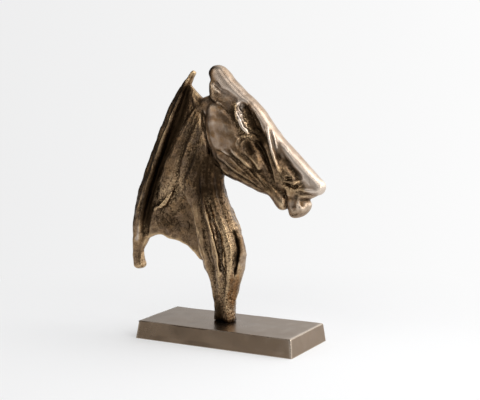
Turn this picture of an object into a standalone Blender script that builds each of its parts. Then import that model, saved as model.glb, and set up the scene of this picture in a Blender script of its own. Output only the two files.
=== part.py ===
"""A cast bronze-coloured horse's head, cut off below the neck, on a rectangular plinth.

Metres, +Z up. The horse faces +X and the side plane y = 0 divides it into two like halves.
The origin is the centre of the plinth's underside. Lengths below are in millimetres.

The head is built as a modeller builds it in clay: strands and pads are laid over each other and
fused, grooves and hollows are pressed in, and the skin is smoothed and then thinned to few faces.
"""

import math

import bmesh
import bpy
import numpy as np
from mathutils import Vector

MM = 0.001

# Plinth
PLINTH_LENGTH = 300.0
PLINTH_DEPTH = 138.0
PLINTH_HEIGHT = 31.0
PLINTH_DRAFT = 4.0
PLINTH_EDGE = 2.0
PLINTH_EDGE_STEPS = 3

# Head casting
SEAT_GAP = 0.3
SEAT_HEIGHT = PLINTH_HEIGHT + SEAT_GAP
STRAND_SIDES = 20
STRAND_STEPS = 5
CAP_RINGS = 4
CLAY_VOXEL = 1.6
SOFTEN_ROUNDS = 3
SKIN_ROUNDS = 2
LEAST_HALF_THICKNESS = 2.5
HEAD_TRIANGLES = 9600

BRONZE = (0.27, 0.2, 0.14, 1.0)
PLINTH_BRONZE = (0.3, 0.24, 0.18, 1.0)

# Each station of a strand is x, y, z, its half width in the side plane and its half depth along Y.
# A strand with y = 0 lies on the middle plane, and any other has a like one on the other side.
HEAD_STRANDS = {
    "poll_lobe": [
        (-29, 0, 454, 13, 13),
        (-20, 0, 456, 15, 14),
        (0, 0, 436, 14, 15.5),
        (22, 0, 415.5, 14, 16),
        (45, 0, 398, 13, 16),
    ],
    "nose_bridge": [
        (24, 0, 414, 13, 15),
        (47, 0, 395.5, 13, 16),
        (61.5, 0, 379, 12.5, 16),
        (86, 0, 348.5, 12, 16),
        (116.5, 0, 318, 12.5, 16),
        (144, 0, 292, 12, 15),
        (160, 0, 277, 12, 14),
    ],
    "nose_tip": [(148, 0, 282, 12, 15), (161, 0, 274, 14, 14), (166.5, 0, 271, 13, 13)],
    "skull": [
        (-29, 0, 441, 9, 13),
        (-25, 0, 430, 13, 16),
        (-18, 0, 416, 19, 18),
        (-4, 0, 406, 22, 20),
        (20, 0, 388, 27, 22),
        (44, 0, 362, 30, 22),
    ],
    "cheek": [
        (-20, 0, 400, 20, 24),
        (-10, 0, 380, 31, 28),
        (1, 0, 352, 35, 30),
        (14, 0, 326, 35, 30),
        (33, 0, 303, 26, 27),
    ],
    "upper_jaw": [
        (30, 0, 350, 30, 24),
        (66, 0, 322, 32, 22),
        (100, 0, 290, 27, 21),
        (128, 0, 270, 20, 20),
    ],
    "upper_lip": [(118, 0, 264, 15, 19), (138, 0, 263, 14, 18), (156, 0, 267, 11.5, 15)],
    "lower_jaw": [
        (4, 0, 305, 24, 24),
        (36, 0, 288, 19.5, 22),
        (62, 0, 275.5, 17.5, 20),
        (82, 0, 265, 13, 17),
        (93, 0, 254, 13, 16),
        (104, 0, 243, 15, 15),
    ],
    "lower_lip": [(123, 0, 249, 18, 17), (131.5, 0, 235.5, 22.5, 19)],
    "brow": [
        (22, -12, 405, 4, 4),
        (21, -16, 396, 5, 6),
        (27, -18, 384, 5, 7),
        (38, -19, 369, 5, 7),
        (50, -20, 357, 5, 6),
        (60, -20, 347, 4, 5),
    ],
    "eye_mound": [(40, -20, 342, 13, 9), (54, -21, 326, 11, 9), (68, -18, 302, 6, 8)],
    "nose_ridge": [
        (79, -13, 362, 3, 5),
        (84, -16, 348, 4, 6),
        (92, -17, 326, 4, 6),
        (102, -17, 300, 4, 6),
    ],
}

NECK_STRANDS = {
    "neck_core": [
        (-47, 0, 400, 14, 11),
        (-54, 0, 360, 32, 17),
        (-58, 0, 310, 44, 20),
        (-46, 0, 262, 34, 20),
        (-33, 0, 212, 31, 20),
        (-22, 0, 168, 36, 19),
        (-13, 0, 134, 40, 17),
        (-10, 0, 109, 32, 16),
        (-11, 0, 84, 24.5, 13.5),
        (-10.5, 0, 62, 19.5, 13),
        (-11.5, 0, 20, 21, 13),
    ],
    "nape": [(-66, 0, 412, 8, 8), (-56, 0, 403, 13, 13), (-40, 0, 401, 19, 18), (-18, 0, 397, 20, 21)],
    "windpipe": [
        (-8, 0, 334, 18, 20),
        (-18, 0, 304, 15, 16),
        (-28, 0, 276, 11.5, 14),
        (-22.5, 0, 250, 11, 15.5),
        (-9.5, 0, 217, 12, 18),
        (7, 0, 183, 13, 20),
        (15, 0, 158, 13, 20),
        (14.5, 0, 132, 12, 19),
        (8, 0, 105, 12, 16),
        (2, 0, 80, 11, 13),
        (-4, 0, 56, 10, 10),
    ],
    "back_muscle": [
        (-56, -3, 398, 8, 7),
        (-72, -6, 372, 12, 9),
        (-88, -8, 338, 15, 10),
        (-106, -9, 300, 18, 11),
        (-118, -8, 268, 17, 9),
        (-129, -5, 243, 13, 6),
        (-136, -2, 226, 8, 4),
    ],
    "middle_muscle": [
        (-49, -4, 388, 6, 6),
        (-52, -11, 364, 12, 10),
        (-63, -14, 330, 15, 12),
        (-76, -13, 300, 14, 10),
        (-88, -9, 274, 10, 7),
        (-96, -4, 254, 7, 4),
    ],
    "front_muscle": [
        (-39, -6, 378, 6, 7),
        (-40, -15, 340, 12, 10),
        (-54, -17, 298, 13, 11),
        (-66, -16, 262, 16, 10),
        (-56, -15, 228, 11, 10),
        (-51, -14, 190, 10, 9),
        (-43, -12, 150, 9, 8),
        (-31, -9, 116, 8, 8),
        (-25, -5, 84, 7, 7),
        (-24, -3, 56, 6, 7),
    ],
    "bright_muscle": [
        (-36, -12, 330, 6, 8),
        (-40, -18, 280, 8, 9),
        (-35, -20, 238, 9, 9),
        (-26, -20, 202, 8, 9),
        (-19, -19, 168, 8, 9),
        (-15, -16, 136, 7, 8),
        (-13, -11, 100, 6, 7),
        (-11, -5, 60, 5, 6),
    ],
    "throat_muscle": [
        (-20, -8, 332, 7, 9),
        (-24, -12, 312, 9, 10),
        (-28.5, -15, 270, 8, 9),
        (-16.5, -16, 226, 9, 10),
        (0, -17, 190, 8, 10),
        (8, -17, 152, 7, 9),
        (7, -14, 118, 6, 8),
        (1, -7, 76, 5, 7),
    ],
    "stem_ridge": [(-1, -7, 84, 7, 6), (-3, -8, 56, 9, 6), (-3, -8, 20, 10, 6)],
}

MANE_STRANDS = {
    "mane_crest": [
        (-77, 0, 450, 5, 6),
        (-87, 0, 432, 9, 7),
        (-103, 0, 402, 14, 8),
        (-120, 0, 366, 15, 9),
        (-139, 0, 322, 15, 10),
        (-157, 0, 278, 16, 10),
        (-171, 0, 238, 17, 10),
        (-180, 0, 200, 17, 9),
        (-187, 0, 162, 12, 9),
        (-188, 0, 134, 10, 8),
        (-187, 0, 120, 9, 9),
    ],
    "mane_foot": [
        (-184, 0, 138, 7, 6),
        (-185, 0, 124, 10, 9),
        (-184, 0, 116, 11, 11),
    ],
    "mane_ridge": [
        (-77, -3, 442, 3, 5),
        (-95, -6, 410, 4, 6),
        (-112, -7, 372, 5, 7),
        (-130, -8, 330, 5, 7),
        (-148, -8, 286, 5, 7),
        (-163, -8, 244, 5, 7),
        (-174, -7, 204, 5, 6),
        (-184, -4, 160, 4, 5),
    ],
    "crest_hook": [(-70, 0, 458, 4, 7), (-75, 0, 452, 5, 8), (-81, 0, 441, 7, 8)],
    "web_lip": [
        (-149, -4, 217, 4, 5),
        (-142, -6, 222, 5, 6),
        (-130, -8, 228, 5, 7),
        (-120, -9, 238, 5, 6),
        (-112, -8, 250, 4, 5),
    ],
}

# A strand's section is an ellipse, or with a higher power than 2 a plate with rounded edges.
SECTION_POWER = {"cheek": 3.2, "poll_lobe": 2.4, "nose_bridge": 2.4, "mane_foot": 3.0}

# The web of thin metal between the mane and the neck, as its outline in the side plane.
WEB_THICKNESS = 10.0
WEB_OUTLINE = [
    (-84, 446),
    (-66, 426),
    (-48, 410),
    (-34, 410),
    (-30, 360),
    (-30, 250),
    (-40, 140),
    (-58, 134),
    (-68, 147),
    (-83, 158),
    (-101, 165),
    (-121, 168),
    (-136, 174),
    (-149, 172),
    (-164, 165),
    (-171, 154),
    (-178, 140),
    (-186, 140),
    (-180, 230),
    (-140, 330),
    (-100, 420),
]

# Each mark changes the skin along a path: x and z of its points in the side plane, then how far it
# reaches to each side, and how deep it goes at the middle. A ridge has a depth below nothing.
ROUND_MARKS = {
    "valley": (
        [(-77, 434), (-86, 400), (-97, 368), (-117, 331), (-135, 293), (-163, 211), (-171, 176)],
        11,
        5,
    ),
    "eye_socket": ([(31, 401), (39, 388), (47, 374), (52, 362)], 13, 9),
    "socket_drain": ([(56, 352), (64, 341), (72, 331), (78, 315), (84, 300), (87, 281)], 7, 9),
    "nose_plane": ([(99, 340), (109, 323), (122, 304), (134, 291)], 10, 3),
    "nostril": ([(114, 286), (121, 287)], 5, 6),
    "nostril_slash": ([(111, 277), (121, 275), (130, 273), (137, 279)], 5, 6),
    "mouth": ([(140, 264), (152, 261), (163, 258)], 5, 3),
    "chin_groove": ([(110, 268), (109, 255), (110, 244), (108, 232), (106, 218)], 5, 3),
    "crown_crease": ([(-21, 440), (-14, 432), (-5, 427), (7, 423), (14, 418), (24, 411)], 5, 3),
    "jaw_groove_upper": ([(12, 330), (22, 319), (40, 305), (62, 285), (84, 267)], 4, 3),
    "jaw_groove_middle": ([(-16, 330), (0, 325), (16, 318), (33, 303), (53, 284), (78, 266)], 4, 3),
    "jaw_groove_lower": ([(-12, 314), (5, 303), (20, 291), (41, 281), (69, 265)], 5, 3),
    "cheek_step": ([(-47, 392), (-41, 366), (-33, 342), (-24, 317), (-12, 300), (0, 288)], 5, 3),
    "lip_pit_rear": ([(131, 257), (131, 248), (128, 240)], 6, 3),
    "lip_pit_front": ([(137, 250), (141, 244)], 5, 2),
    "whorl_pit": ([(48, 336), (55, 327)], 8, 5),
    "neck_slot": ([(10, 196), (16, 181), (20, 168), (21, 156), (19, 142), (17, 130)], 6, 4),
    "neck_furrow": ([(-35, 249), (-24, 220), (-16, 183), (-11, 150), (-7, 123)], 5, 4),
    "back_furrow": ([(-58, 196), (-56, 170), (-55, 150), (-46, 134)], 5, 3),
    "web_hollow": ([(-138, 206), (-122, 196), (-100, 220), (-88, 246)], 14, 2),
}

SHARP_MARKS = {
    "nose_ridge_long": ([(77, 367), (83, 354), (90, 333), (97, 313), (103, 299)], 4, -4),
    "nose_ridge_short": ([(85, 361), (90, 350), (94, 338)], 4, -3),
    "nose_fold": ([(82, 362), (88, 349), (93, 335), (100, 318)], 4, 4),
    "brow_edge": ([(25, 410), (20, 402), (22, 393), (29, 381), (38, 369), (50, 357), (60, 347)], 4, -2),
    "whorl_ring": (
        [(59, 340), (54, 347), (44, 353), (34, 351), (30, 342), (37, 330), (51, 322), (63, 310), (68, 299)],
        4,
        -2,
    ),
    "cheek_rim": ([(-40, 392), (-35, 367), (-28, 342), (-19, 319), (-8, 303), (6, 290)], 4, -3),
    "cheek_line": ([(-34, 415), (-20, 408), (-8, 402), (8, 392)], 3, 2),
    "jaw_ridge_high": ([(19, 329), (31, 318), (50, 299), (72, 279), (92, 264)], 4, -2),
    "jaw_ridge_middle": ([(2, 327), (20, 313), (38, 296), (60, 278), (82, 262)], 4, -2),
    "jaw_ridge_low": ([(-10, 320), (6, 309), (22, 298), (45, 283), (70, 268)], 4, -2),
    "lip_crescent": ([(133, 253), (134, 246), (137, 240), (144, 236)], 4, -2),
    "lip_line": ([(129, 268), (140, 269), (156, 268), (170, 265)], 4, -2),
    "nostril_rim": ([(112, 281), (122, 278), (134, 280), (144, 287)], 4, -2),
    "slot_edge": ([(-9, 224), (3, 198), (11, 176), (14, 158), (14, 140), (12, 126), (10, 112)], 4, -3),
    "throat_edge": ([(-40, 256), (-30, 224), (-23, 197), (-16, 171), (-11, 143), (-9, 116)], 4, -3),
    "stem_edge": ([(-1, 84), (-1, 58), (0, 31)], 10, -2),
    "mane_edge": (
        [(-79, 444), (-95, 409), (-124, 346), (-139, 322), (-147, 297), (-168, 251), (-185, 210)],
        5,
        -3,
    ),
}


def smooth_stations(stations, steps):
    """Points of a Catmull-Rom curve through the stations, whose values all vary together."""
    rows = np.array(stations, float)
    if len(rows) == 2:
        share = np.linspace(0.0, 1.0, steps + 1)[:, None]
        return rows[0] + (rows[1] - rows[0]) * share
    padded = np.vstack([2 * rows[0] - rows[1], rows, 2 * rows[-1] - rows[-2]])
    made = []
    for i in range(1, len(padded) - 2):
        before, start, end, after = padded[i - 1 : i + 3]
        for t in np.arange(steps) / steps:
            made.append(
                0.5
                * (
                    2 * start
                    + (end - before) * t
                    + (2 * before - 5 * start + 4 * end - after) * t**2
                    + (3 * start - before - 3 * end + after) * t**3
                )
            )
    made.append(rows[-1])
    return np.array(made)


def domed(rows):
    """The rows with a rounded cap's rings added at each end."""

    def cap(end, inner):
        way = end[:3] - inner[:3]
        way = way / np.linalg.norm(way)
        reach = 0.7 * min(end[3], end[4])
        rings = []
        for ring in range(1, CAP_RINGS + 1):
            angle = ring / (CAP_RINGS + 0.35) * math.pi / 2
            rings.append([*(end[:3] + way * reach * math.sin(angle)), *(end[3:] * math.cos(angle))])
        return rings

    return np.array(cap(rows[0], rows[1])[::-1] + list(rows) + cap(rows[-1], rows[-2]))


def section_point(turn, power):
    """A point of the unit section at this turn, as shares of the half width and the half depth."""
    across, deep = math.cos(turn), math.sin(turn)
    share = (abs(across) ** power + abs(deep) ** power) ** (-1 / power)
    return across * share, deep * share


def add_strand(clay, stations, side, power):
    """Lofts one closed strand along its stations, on the given side of the middle plane."""
    rows = domed(smooth_stations(stations, STRAND_STEPS))
    rows[:, 1] *= side
    way = np.gradient(rows[:, :3], axis=0)
    way /= np.linalg.norm(way, axis=1)[:, None]
    across = np.stack([way[:, 2], np.zeros(len(way)), -way[:, 0]], axis=1)
    across /= np.linalg.norm(across, axis=1)[:, None]
    deep = np.cross(way, across)
    section = [section_point(k * 2 * math.pi / STRAND_SIDES, power) for k in range(STRAND_SIDES)]
    loops = []
    for row, a, d in zip(rows, across, deep):
        ring = [
            clay.verts.new((row[:3] + a * row[3] * u + d * row[4] * v) * MM)
            for u, v in section
        ]
        loops.append(ring)
    faces = [clay.faces.new(loops[0]), clay.faces.new(loops[-1][::-1])]
    for ring, following in zip(loops, loops[1:]):
        for k in range(STRAND_SIDES):
            after = (k + 1) % STRAND_SIDES
            faces.append(clay.faces.new((ring[k], following[k], following[after], ring[after])))
    bmesh.ops.recalc_face_normals(clay, faces=faces)


def add_plate(clay, outline, thickness):
    """A flat plate of the outline's shape, half of its thickness on each side of the middle plane."""
    near = [clay.verts.new((x * MM, -thickness / 2 * MM, z * MM)) for x, z in outline]
    face = clay.faces.new(near)
    made = bmesh.ops.extrude_face_region(clay, geom=[face])["geom"]
    moved = [v for v in made if isinstance(v, bmesh.types.BMVert)]
    bmesh.ops.translate(clay, verts=moved, vec=(0, thickness * MM, 0))
    faces = [f for f in clay.faces if any(v in moved or v in near for v in f.verts)]
    bmesh.ops.recalc_face_normals(clay, faces=faces)


def clay_mesh():
    """All strands and plates in one mesh, each closed and overlapping its neighbours."""
    clay = bmesh.new()
    for family in (HEAD_STRANDS, NECK_STRANDS, MANE_STRANDS):
        for name, stations in family.items():
            on_middle = all(station[1] == 0 for station in stations)
            for side in (1,) if on_middle else (1, -1):
                add_strand(clay, stations, side, SECTION_POWER.get(name, 2.0))
    add_plate(clay, WEB_OUTLINE, WEB_THICKNESS)
    mesh = bpy.data.meshes.new("clay")
    clay.to_mesh(mesh)
    clay.free()
    return mesh


def evaluated_mesh(obj):
    """The object's mesh with its modifiers applied; the modifiers are then taken off."""
    graph = bpy.context.evaluated_depsgraph_get()
    mesh = bpy.data.meshes.new_from_object(obj.evaluated_get(graph))
    obj.modifiers.clear()
    return mesh


def fuse(obj):
    """One skin over all the clay, its creases softened."""
    remesh = obj.modifiers.new("fuse", "REMESH")
    remesh.mode = "VOXEL"
    remesh.voxel_size = CLAY_VOXEL * MM
    soften = obj.modifiers.new("soften", "SMOOTH")
    soften.factor = 0.5
    soften.iterations = SOFTEN_ROUNDS
    obj.data = evaluated_mesh(obj)


def path_distance(points, path):
    """How far each point is from the path, all in the side plane."""
    best = np.full(len(points), np.inf)
    for start, end in zip(path, path[1:]):
        run = end - start
        share = np.clip((points - start) @ run / (run @ run), 0.0, 1.0)
        away = np.linalg.norm(points - (start + share[:, None] * run), axis=1)
        best = np.minimum(best, away)
    return best


def mark(points, path, reach, depth, profile):
    """How far a mark sinks each point of the skin: most at its path, nothing beyond its reach."""
    curve = smooth_stations(path, STRAND_STEPS)
    away = path_distance(points[:, [0, 2]], curve)
    return depth * profile(np.minimum(away / reach, 1.0))


def round_profile(way):
    return 0.5 + 0.5 * np.cos(math.pi * way)


def sharp_profile(way):
    return 1.0 - way


def carve(obj):
    """Works every groove, hollow and ridge into the fused skin; where some meet, the largest counts."""
    mesh = obj.data
    points = np.empty(len(mesh.vertices) * 3, np.float32)
    mesh.vertices.foreach_get("co", points)
    points = points.reshape(-1, 3).astype(float) / MM
    normals = np.empty(len(mesh.vertices) * 3, np.float32)
    mesh.vertices.foreach_get("normal", normals)
    normals = normals.reshape(-1, 3).astype(float)
    sunk = np.zeros(len(points))
    raised = np.zeros(len(points))
    for marks, profile in ((ROUND_MARKS, round_profile), (SHARP_MARKS, sharp_profile)):
        for path, reach, depth in marks.values():
            change = mark(points, path, reach, depth, profile)
            sunk = np.maximum(sunk, change)
            raised = np.minimum(raised, change)
    side = np.sign(points[:, 1])
    least = np.minimum(np.abs(points[:, 1]), LEAST_HALF_THICKNESS)
    points -= normals * ((sunk + raised) * np.abs(normals[:, 1]))[:, None]
    points[:, 1] = side * np.maximum(side * points[:, 1], least)
    mesh.vertices.foreach_set("co", (points * MM).astype(np.float32).ravel())
    mesh.update()


def thin_out(obj):
    """Smooths the skin and thins it to the wanted number of triangles."""
    skin = obj.modifiers.new("skin", "SMOOTH")
    skin.factor = 0.5
    skin.iterations = SKIN_ROUNDS
    facets = obj.modifiers.new("facets", "TRIANGULATE")
    facets.quad_method = "BEAUTY"
    thin = obj.modifiers.new("thin", "DECIMATE")
    thin.ratio = HEAD_TRIANGLES / (2 * len(obj.data.polygons))
    obj.data = evaluated_mesh(obj)


def seat(obj):
    """Cuts the stem off flat just above the plinth."""
    body = bmesh.new()
    body.from_mesh(obj.data)
    cut = bmesh.ops.bisect_plane(
        body,
        geom=body.verts[:] + body.edges[:] + body.faces[:],
        plane_co=(0, 0, SEAT_HEIGHT * MM),
        plane_no=(0, 0, -1),
        clear_outer=True,
    )
    rim = [e for e in cut["geom_cut"] if isinstance(e, bmesh.types.BMEdge)]
    bmesh.ops.contextual_create(body, geom=rim)
    bmesh.ops.triangulate(body, faces=[f for f in body.faces if len(f.verts) > 3])
    bmesh.ops.recalc_face_normals(body, faces=body.faces)
    body.to_mesh(obj.data)
    body.free()


def material(name, colour, roughness):
    made = bpy.data.materials.new(name)
    made.use_nodes = True
    shader = made.node_tree.nodes["Principled BSDF"]
    shader.inputs["Base Color"].default_value = colour
    shader.inputs["Metallic"].default_value = 1.0
    shader.inputs["Roughness"].default_value = roughness
    return made


def linked(name, mesh, finish):
    obj = bpy.data.objects.new(name, mesh)
    bpy.context.scene.collection.objects.link(obj)
    obj.data.materials.append(finish)
    return obj


def make_head():
    head = linked("horse_head", clay_mesh(), material("head_bronze", BRONZE, 0.4))
    fuse(head)
    carve(head)
    thin_out(head)
    seat(head)
    head.data.shade_smooth()
    head.data.set_sharp_from_angle(angle=math.radians(60))
    return head


def make_plinth():
    """A low block with leaning sides, its upper and upright edges rounded over."""
    half_length = PLINTH_LENGTH / 2
    half_depth = PLINTH_DEPTH / 2
    block = bmesh.new()
    bmesh.ops.create_cube(block, size=1.0)
    for v in block.verts:
        top = v.co.z > 0
        inset = PLINTH_DRAFT if top else 0.0
        v.co.x = math.copysign(half_length - inset, v.co.x) * MM
        v.co.y = math.copysign(half_depth - inset, v.co.y) * MM
        v.co.z = PLINTH_HEIGHT * MM if top else 0.0
    worn = [e for e in block.edges if max(v.co.z for v in e.verts) > 0]
    bmesh.ops.bevel(
        block,
        geom=worn,
        offset=PLINTH_EDGE * MM,
        offset_type="OFFSET",
        segments=PLINTH_EDGE_STEPS,
        profile=0.5,
        affect="EDGES",
    )
    mesh = bpy.data.meshes.new("plinth")
    block.to_mesh(mesh)
    block.free()
    plinth = linked("plinth", mesh, material("plinth_bronze", PLINTH_BRONZE, 0.45))
    plinth.data.shade_smooth()
    plinth.data.set_sharp_from_angle(angle=math.radians(60))
    return plinth


def main():
    for obj in list(bpy.data.objects):
        bpy.data.objects.remove(obj)
    make_plinth()
    make_head()


main()
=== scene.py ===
# %% [markdown]
# # A horse's head in bronze colour, on its plinth
#
# The real object is an ornament in two pieces: a cast head that narrows to a stem, and a heavy
# rectangular plinth. Both are metal with a bronze finish: dark where the finish stays in the
# hollows, and bright where the edges were rubbed back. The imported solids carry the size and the
# main forms. This lesson builds the finer skin over them, gives both pieces their metal, and
# lights them as in a small photo studio.

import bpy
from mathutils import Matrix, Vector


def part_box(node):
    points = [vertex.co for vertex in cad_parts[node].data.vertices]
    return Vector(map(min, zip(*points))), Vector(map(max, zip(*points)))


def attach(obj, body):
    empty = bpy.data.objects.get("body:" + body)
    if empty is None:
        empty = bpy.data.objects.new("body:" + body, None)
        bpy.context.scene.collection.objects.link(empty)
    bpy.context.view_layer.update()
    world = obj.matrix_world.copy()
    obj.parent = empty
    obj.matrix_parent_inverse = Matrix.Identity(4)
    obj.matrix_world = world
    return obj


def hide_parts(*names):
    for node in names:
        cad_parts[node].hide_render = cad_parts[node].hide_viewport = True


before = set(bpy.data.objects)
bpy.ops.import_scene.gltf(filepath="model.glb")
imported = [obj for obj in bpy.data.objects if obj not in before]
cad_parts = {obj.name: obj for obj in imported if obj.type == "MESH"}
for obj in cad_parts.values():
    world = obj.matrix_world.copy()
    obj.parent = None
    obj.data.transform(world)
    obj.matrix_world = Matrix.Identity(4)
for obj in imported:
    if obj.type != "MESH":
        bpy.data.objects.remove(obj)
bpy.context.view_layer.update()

# %% The other modules, and the unit of the tables
import itertools
import math

import bmesh
import bpy
import numpy as np
from mathutils import Vector
from mathutils.bvhtree import BVHTree

MM = 0.001
scene = bpy.context.scene

# %% [markdown]
# ## The camera
#
# A long lens from nearly two metres keeps the plinth's edges almost parallel, as a product
# photograph does. The camera stands to the right of the horse's nose and a little above it.

# %% The camera
VIEW_TURN = math.radians(28.1)
VIEW_RISE = math.radians(6.9)
VIEW_DISTANCE = 1.863
VIEW_TARGET = Vector((0.0189, 0.0, 0.2436))
SENSOR = 36.0
LENS = 82.5

towards_camera = Vector(
    (
        math.sin(VIEW_TURN) * math.cos(VIEW_RISE),
        -math.cos(VIEW_TURN) * math.cos(VIEW_RISE),
        math.sin(VIEW_RISE),
    )
)
camera = bpy.data.objects.new("camera", bpy.data.cameras.new("camera"))
scene.collection.objects.link(camera)
camera.data.sensor_width = SENSOR
camera.data.lens = LENS
camera.location = VIEW_TARGET + towards_camera * VIEW_DISTANCE
camera.rotation_euler = towards_camera.to_track_quat("Z", "Y").to_euler()
scene.camera = camera
print("camera at", [round(v, 3) for v in camera.location])

# %% [markdown]
# ## The studio
#
# Polished metal shows its surroundings more than itself. So the room matters as much as the
# lamps: it is white behind the object and to its right, and darker on the camera's side, which
# gives the ridges their bright rims and leaves the flanks brown. The floor fades into the white
# at a distance, and both whites follow the same rule, so no horizon shows.

# %% Helpers for node trees
def add_node(tree, kind, inputs=None, **settings):
    """A node of this kind, with its settings and the values or links of its inputs."""
    node = tree.nodes.new(kind)
    for name, value in settings.items():
        setattr(node, name, value)
    for key, value in (inputs or {}).items():
        if isinstance(value, bpy.types.NodeSocket):
            tree.links.new(value, node.inputs[key])
        else:
            node.inputs[key].default_value = value
    return node


def empty_tree(owner):
    """The node tree of a material or world, emptied."""
    owner.use_nodes = True
    owner.node_tree.nodes.clear()
    return owner.node_tree


def calculate(tree, operation, first, second):
    """The result of one Math node."""
    return add_node(tree, "ShaderNodeMath", {0: first, 1: second}, operation=operation).outputs[0]


def blend_colours(tree, share, first, second):
    """The result of mixing two colours by a share."""
    mix = add_node(tree, "ShaderNodeMix", {"Factor": share}, data_type="RGBA")
    for socket, value in ((mix.inputs[6], first), (mix.inputs[7], second)):
        if isinstance(value, bpy.types.NodeSocket):
            tree.links.new(value, socket)
        else:
            socket.default_value = value
    return mix.outputs[2]


def ramp(tree, value, low, high, start=0.0, end=1.0, interpolation="LINEAR"):
    """Runs from start to end while the value goes from low to high."""
    inputs = {"Value": value, "From Min": low, "From Max": high, "To Min": start, "To Max": end}
    span = add_node(tree, "ShaderNodeMapRange", inputs, interpolation_type=interpolation)
    return span.outputs["Result"]


def product(tree, first, *others):
    """All of these values, multiplied."""
    for other in others:
        first = calculate(tree, "MULTIPLY", first, other)
    return first


def weighted_sum(tree, start, *shares):
    """The start and each share times its weight, added up."""
    for share, weight in shares:
        start = calculate(tree, "ADD", start, calculate(tree, "MULTIPLY", share, weight))
    return start


print("node helpers: add_node, empty_tree, calculate, blend_colours, ramp, product, weighted_sum")

# %% The white behind the object
WHITE_LEFT = (0.857, 0.857, 0.86, 1.0)
WHITE_RIGHT = (0.968, 0.968, 0.968, 1.0)
WHITE_TURN = (-0.65, -0.27)


def background_white(tree, ways):
    """The white that is seen in these directions: a little darker towards the left."""
    sideways = add_node(tree, "ShaderNodeSeparateXYZ", {0: ways}).outputs["X"]
    return blend_colours(tree, ramp(tree, sideways, *WHITE_TURN), WHITE_LEFT, WHITE_RIGHT)


print("white from", WHITE_LEFT[:3], "to", WHITE_RIGHT[:3])

# %% The room's light, which the metal mirrors
ROOM_BACK = 1.1
ROOM_FRONT = 0.11
ROOM_LEFT = 0.08
ROOM_RIGHT = 0.9
FRONT_TO_BACK = (-0.6, 0.7)
LEFT_TO_MIDDLE = (-0.8, -0.3)
MIDDLE_TO_RIGHT = (-0.1, 0.6)

room = bpy.data.worlds.new("studio_room")
scene.world = room
tree = empty_tree(room)
ways = add_node(tree, "ShaderNodeTexCoord").outputs["Generated"]
split = add_node(tree, "ShaderNodeSeparateXYZ", {0: ways})
across, forwards = split.outputs["X"], split.outputs["Y"]
depth = ramp(tree, forwards, *FRONT_TO_BACK, ROOM_FRONT, ROOM_BACK, "SMOOTHSTEP")
sideways = weighted_sum(
    tree,
    ROOM_LEFT,
    (ramp(tree, across, *LEFT_TO_MIDDLE), 1.0 - ROOM_LEFT),
    (ramp(tree, across, *MIDDLE_TO_RIGHT), ROOM_RIGHT),
)
strength = product(tree, depth, sideways)
white = background_white(tree, ways)
seen = add_node(tree, "ShaderNodeBackground", {"Color": white, "Strength": 1.0}).outputs[0]
unseen = add_node(
    tree, "ShaderNodeBackground", {"Color": (1.0, 1.0, 1.0, 1.0), "Strength": strength}
).outputs[0]
by_camera = add_node(tree, "ShaderNodeLightPath").outputs["Is Camera Ray"]
both = add_node(tree, "ShaderNodeMixShader", {0: by_camera, 1: unseen, 2: seen})
add_node(tree, "ShaderNodeOutputWorld", {"Surface": both.outputs[0]})
scene.view_settings.view_transform = "Standard"
print("room: back", ROOM_BACK, "front", ROOM_FRONT, "left", ROOM_LEFT, "right", ROOM_RIGHT)

# %% The lamps
# Each lamp's place, width and height in metres, its watts and its colour.
LAMPS = {
    "key_lamp": ((1.3, 0.2, 1.5), 1.1, 1.2, 14.0, (1.0, 0.98, 0.96)),
    "left_lamp": ((-1.3, -1.2, 0.9), 0.6, 1.3, 6.0, (1.0, 0.98, 0.95)),
    "front_lamp": ((0.3, -1.5, 1.7), 1.0, 0.6, 7.0, (1.0, 0.97, 0.94)),
    "right_lamp": ((1.5, -0.75, 0.75), 0.45, 1.2, 8.0, (1.0, 0.98, 0.96)),
}


def soft_lamp(name, place, width, height, watts, colour):
    """Hangs a large flat lamp that faces the object."""
    data = bpy.data.lights.new(name, "AREA")
    data.shape = "RECTANGLE"
    data.size = width
    data.size_y = height
    data.energy = watts
    data.color = colour
    lamp = bpy.data.objects.new(name, data)
    scene.collection.objects.link(lamp)
    lamp.location = place
    away = Vector(place) - VIEW_TARGET
    lamp.rotation_euler = away.to_track_quat("Z", "Y").to_euler()


for name, settings in LAMPS.items():
    soft_lamp(name, *settings)

# %% The floor
FLOOR_RADIUS = 3.0
FLOOR_CORNERS = 96


def object_from(shape, name):
    """An object in the scene, made of this shape."""
    mesh = bpy.data.meshes.new(name)
    shape.to_mesh(mesh)
    shape.free()
    obj = bpy.data.objects.new(name, mesh)
    scene.collection.objects.link(obj)
    return obj


disc = bmesh.new()
bmesh.ops.create_circle(disc, cap_ends=True, segments=FLOOR_CORNERS, radius=FLOOR_RADIUS)
studio_floor = object_from(disc, "studio_floor")
print("floor radius", FLOOR_RADIUS, "m")

# %% White paper that fades into the background
PAPER_WHITE = (0.845, 0.855, 0.87, 1.0)
PAPER_FADE = (0.2, 0.75)
PAPER_FADE_LEAST = 0.4

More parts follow.
